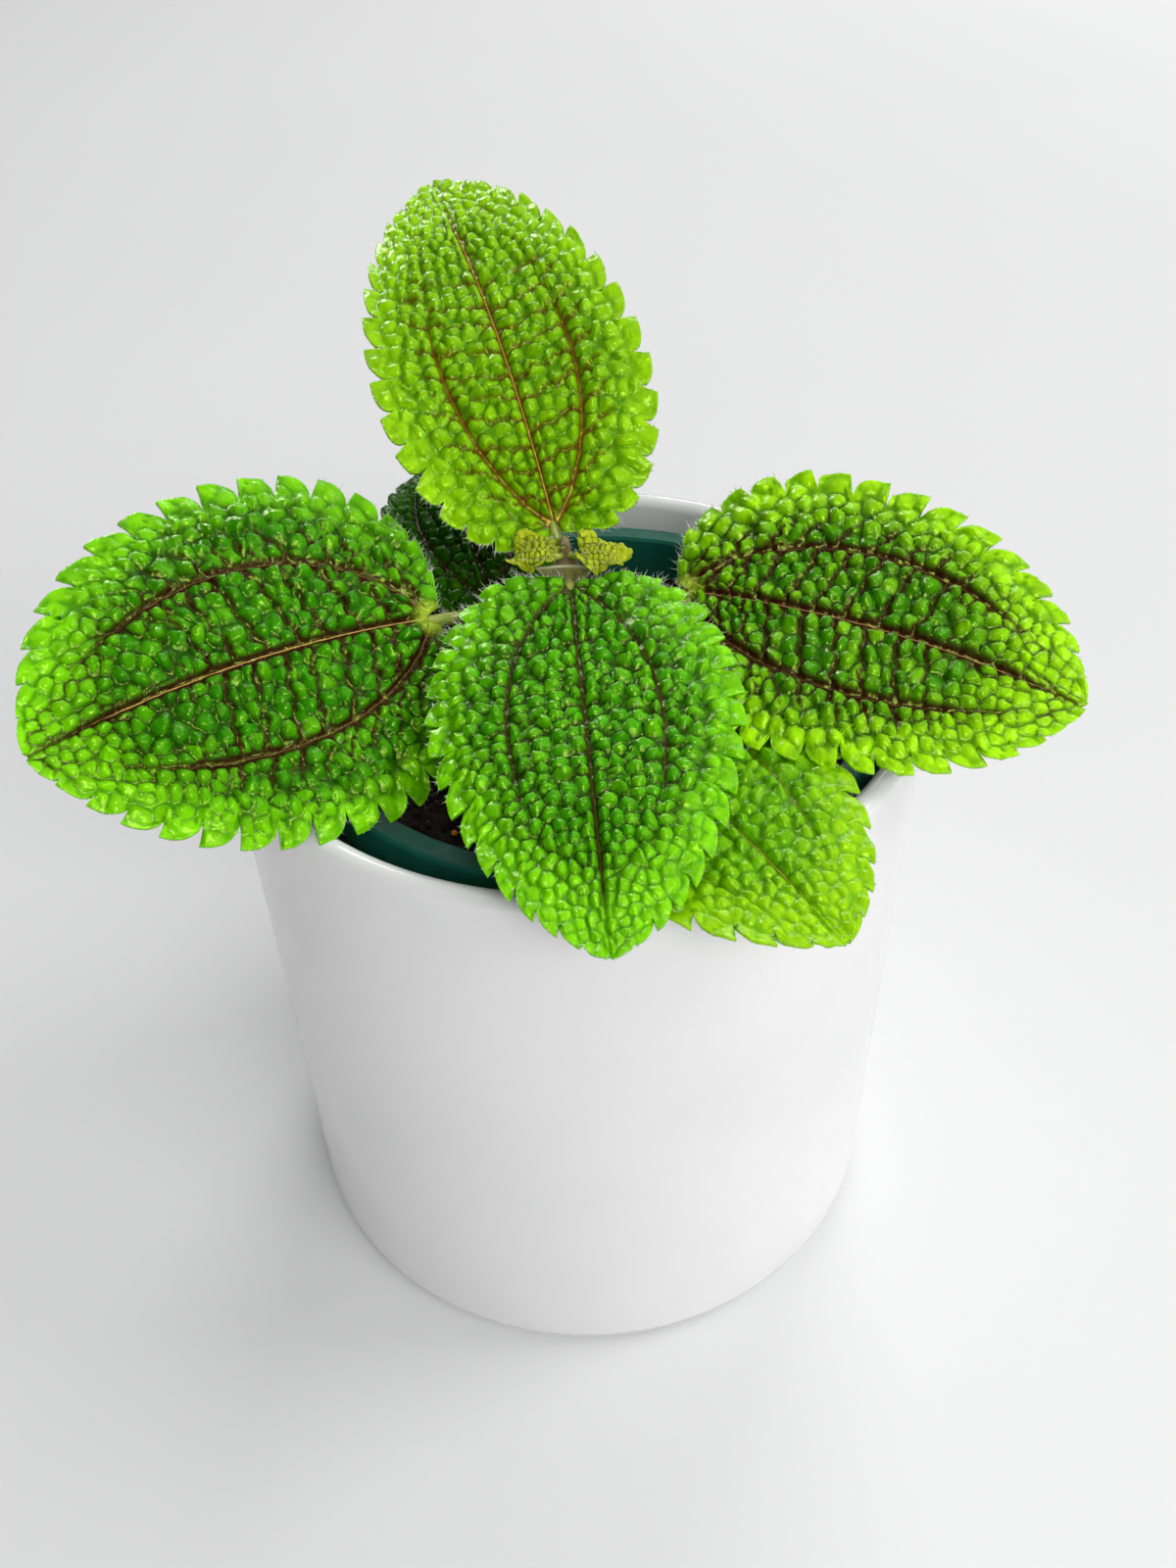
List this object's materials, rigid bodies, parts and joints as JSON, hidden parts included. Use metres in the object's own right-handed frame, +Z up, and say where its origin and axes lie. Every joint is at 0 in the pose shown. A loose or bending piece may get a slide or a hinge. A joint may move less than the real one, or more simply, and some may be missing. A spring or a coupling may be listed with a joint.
{
  "type": "potted plant",
  "caption": "Friendship plant with quilted, toothed green leaves in a green nursery pot set inside a plain white glazed cover pot.",
  "frame": {"origin": "middle of the cover pot's underside", "axes": "+Z up along the pot's axis, -Y towards the side that the front leaf leans to, +X to the right seen from that side"},
  "size_m": [0.1645, 0.1408, 0.1866],
  "materials": {
    "white_glaze": "glossy",
    "green_plastic": "satin",
    "potting_mix": "rough",
    "stem_skin": "satin",
    "leaf_green": "glossy",
    "old_leaf_green": "satin",
    "bud_green": "satin"
  },
  "bodies": {
    "root": {"cover_pot": "white_glaze", "nursery_pot": "green_plastic", "soil": "potting_mix", "stem": "stem_skin", "leaf_back": "leaf_green", "leaf_left": "leaf_green", "leaf_front": "leaf_green", "leaf_right": "leaf_green", "leaf_low_front": "leaf_green", "leaf_low_back": "old_leaf_green", "bud_leaf_left": "bud_green", "bud_leaf_right": "bud_green"}
  },
  "joints": []
}
